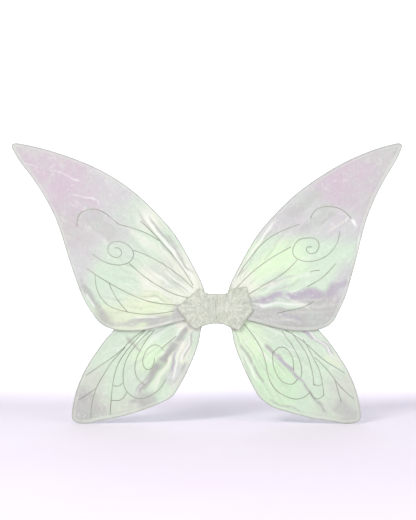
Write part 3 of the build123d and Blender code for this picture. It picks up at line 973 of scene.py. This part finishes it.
def make_panel(hand, word):
    """One padded face of half the panel, with its edge sewn over and its rows of stitches."""
    side, face = HANDS[hand], FACES[word]
    points = panel_outline(hand)
    edge = dense(points, PANEL_EDGE_STEP)
    border = cloud([point for point in edge if side * point[0] > MIDDLE_CLEAR * MM])
    bm = bmesh.new()
    whole = bm.faces.new([bm.verts.new((x, 0, z)) for x, z in points])
    bm.normal_update()
    if whole.normal.y > 0:
        whole.normal_flip()
    cut_grid(bm, PANEL_STEP)

    @remember
    def outer(x, z):
        return panel_height(x / MM, z / MM, reach(border, x, z) / MM, word) * MM

    @remember
    def inner(x, z):
        lining = mixed(*LINING[word], lobe_share(x / MM)) * MM
        inside = outer(x, z) - face * COVER_WALL * MM
        return max(lining, inside) if word == "front" else min(lining, inside)

    # Painted shade in the panel's hollows and painted light on its crests, stored as a grey that darkens
    # the felt
    def painted_relief_light(x, z):
        level = 1 + RELIEF_SHADE * panel_relief(x / MM, z / MM, word)
        level = min(LIGHTEST, max(DARKEST, level))
        return (level, level, level, 1.0)

    give_back(bm, *((outer, inner) if word == "front" else (inner, outer)))
    pad = make_piece(f"{hand}_panel_{word}", bm, FELT)
    paint(pad, painted_relief_light)
    follow_fold(pad, hand)
    covered = [f"{hand}_{word}_cover", f"{hand}_{word}_pad", f"waist_{word}_cover"]
    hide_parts(*covered, "waist_pad")
    make_overlock(hand, word, points, border, outer)
    make_quilting(hand, word, outer)


def follow_fold(piece, hand):
    """Bake where a piece of the panel lies into its mesh."""
    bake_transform(piece)


def make_quilting(hand, word, outer):
    """Rows of small stitches that hold a lobe's layers and the wings' roots together."""
    side, face = HANDS[hand], FACES[word]
    bm = bmesh.new()
    for row in QUILTING:
        points = dense([(x * MM, z * MM) for x, z in row], QUILT_PITCH, closed=False)
        for (x0, z0), (x1, z1) in zip(points, points[1:]):
            along = Vector((side * (x1 - x0), 0, z1 - z0)).normalized()
            place = Vector((side * x0, outer(side * x0, z0) + face * QUILT_LIFT * MM, z0))
            add_stitch(bm, place, along, Vector((0, face, 0)), QUILT_LENGTH, QUILT_WIDTH)
    stitches = make_piece(f"{hand}_{word}_quilting", bm, DARK_THREAD)
    follow_fold(stitches, hand)


def make_overlock(hand, word, points, border, outer):
    """The zigzag of thread that binds the edge of a panel face."""
    side = HANDS[hand]
    middle = Vector((side * LOBE_MIDDLE * MM, 0))
    edge = dense(points, OVERLOCK_PITCH)
    walk = opened([point for point in edge if side * point[0] > OVERLOCK_CLEAR * MM])
    route = []
    for number, (x, z) in enumerate(walk):
        x0, z0 = walk[max(0, number - 1)]
        x1, z1 = walk[min(len(walk) - 1, number + 1)]
        along = Vector((x1 - x0, z1 - z0)).normalized()
        inwards = Vector((-along.y, along.x))
        if reach(border, x + inwards.x * 2 * MM, z + inwards.y * 2 * MM) < 1.2 * MM:
            inwards = -inwards
        spot = Vector((x, z))
        if (spot + inwards * MM - middle).length > (spot - middle).length + 0.8 * MM:
            inwards = -inwards
        depth = (OVERLOCK_OUTER if number % 2 else OVERLOCK_INNER) * MM
        px, pz = x + inwards.x * depth, z + inwards.y * depth
        route.append((px, outer(px, pz) + FACES[word] * OVERLOCK_LIFT * MM, pz))
    name = f"{hand}_{word}_overlock"
    zigzag = drawn_tube(name, [route], OVERLOCK_RADIUS, DARK_THREAD, order=3)
    follow_fold(zigzag, hand)


# ---- Straps
def make_strap(hand):
    """An arm strap of ribbed elastic, with its ends on the back of the panel."""
    edge_x = HANDS[hand] * STRAP_X - STRAP_WIDTH / 2
    bm = smooth_line([[(edge_x * MM, y * MM, z * MM) for y, z in STRAP_ROUTE]], 8)
    edges = bm.edges[:]
    for _ in range(STRAP_RIBS):
        edges = drawn_out(bm, edges, STRAP_WIDTH / STRAP_RIBS * MM)
    bmesh.ops.recalc_face_normals(bm, faces=bm.faces[:])
    strap = make_piece(f"{hand}_arm_strap", bm, ELASTIC)
    wall = strap.modifiers.new("thickness", "SOLIDIFY")
    wall.thickness = STRAP_THICKNESS * MM
    wall.offset = 0.0
    lie = strap.data.color_attributes.new("lie", "FLOAT_COLOR", "POINT")
    for vertex, spot in zip(strap.data.vertices, lie.data):
        length = atan2(vertex.co.z, vertex.co.y - LOOP_MIDDLE * MM) * LOOP_RADIUS * MM
        spot.color = (length, length, length, 1.0)
    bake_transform(strap)
    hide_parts(f"{hand}_strap", f"{hand}_strap_ends")


def make_bar_tacks(hand):
    """The dense zigzags of thread that hold a strap's ends."""
    bm = bmesh.new()
    for height in TACK_HEIGHTS:
        for number in range(TACK_COUNT):
            x = HANDS[hand] * STRAP_X + TACK_START + TACK_STEP * number
            lean = 0.5 if number % 2 else -0.5
            along = Vector((lean, 0, 1)).normalized()
            place = Vector((x, TACK_DEPTH, height)) * MM
            add_stitch(bm, place, along, Vector((0, 1, 0)), TACK_LENGTH, TACK_WIDTH)
    tacks = make_piece(f"{hand}_bar_tacks", bm, THREAD)
    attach(tacks, f"{hand}_wing")
    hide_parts(f"{hand}_strap_tacks")


for hand, level in WINGS:
    make_wing(hand, level)
    dress(f"{hand}_{level}_wire", STEEL)
    dress(f"{hand}_{level}_ferrule", CRIMP)
for hand in HANDS:
    for word in FACES:
        make_panel(hand, word)
    make_strap(hand)
    make_bar_tacks(hand)
    dress(f"{hand}_root_lashing", THREAD)


# ---- Floor, wall, light and camera
FLOOR_Z, FLOOR_START = -247.5, -14000
WALL_Y, WALL_TOP = 5200.0, 6000
BEND = 2400.0
STAGE_HALF = 9000


def make_stage():
    """A pale floor that turns up into a pale wall."""
    bm = bmesh.new()
    points = [(FLOOR_START, FLOOR_Z), (WALL_Y - BEND, FLOOR_Z)]
    for turn in range(5, 91, 5):
        y = WALL_Y - BEND + BEND * sin(radians(turn))
        points.append((y, FLOOR_Z + BEND - BEND * cos(radians(turn))))
    points.append((WALL_Y, WALL_TOP))
    line = [bm.verts.new((-STAGE_HALF * MM, y * MM, z * MM)) for y, z in points]
    edges = [bm.edges.new(pair) for pair in zip(line, line[1:])]
    drawn_out(bm, edges, 2 * STAGE_HALF * MM)
    f = Finish("pale_backdrop", Roughness=0.9)
    depth = f.add("ShaderNodeSeparateXYZ", {}, {0: f.place()}, out=1)
    tone = f.blend(f.span(depth, 0.4, 4.6), linear(238, 228, 240), linear(226, 238, 246))
    grain = f.span(f.noise(3, 2), 0.3, 0.7) * 0.25
    f.set("Base Color", f.blend(grain, tone, linear(244, 243, 249)))
    make_piece("backdrop", bm, f.material)


def add_light(name, place, aim, size, power, colour):
    """A large soft light that looks at a point."""
    lamp = bpy.data.lights.new(name, "AREA")
    lamp.shape = "DISK"
    lamp.size = size
    lamp.energy = power
    lamp.color = colour
    holder = bpy.data.objects.new(name, lamp)
    holder.location = place
    holder.rotation_euler = (Vector(aim) - Vector(place)).to_track_quat("-Z", "Y").to_euler()
    bpy.context.scene.collection.objects.link(holder)


make_stage()
add_light("key", (-1.6, -2.2, 2.0), (0, 0, 0.05), 1.2, 48, (1.0, 0.99, 0.97))
add_light("fill", (2.0, -1.8, 0.9), (0, 0, 0.05), 1.8, 20, (0.96, 0.98, 1.0))
add_light("wall", (0, 1.6, 2.6), (0, 5.2, 1.0), 3.0, 210, (0.97, 0.99, 1.0))
world = bpy.data.worlds.new("studio")
world.use_nodes = True
world.node_tree.nodes["Background"].inputs["Color"].default_value = (0.97, 0.97, 0.965, 1.0)
world.node_tree.nodes["Background"].inputs["Strength"].default_value = 0.68
bpy.context.scene.world = world
bpy.context.scene.view_settings.view_transform = "Standard"

camera = bpy.data.cameras.new("camera")
camera.lens = 82.2
camera_holder = bpy.data.objects.new("camera", camera)
camera_holder.location = (-0.0182, -2.609, 0.1117)
camera_holder.rotation_euler = (radians(90), 0, 0)
bpy.context.scene.collection.objects.link(camera_holder)
bpy.context.scene.camera = camera_holder
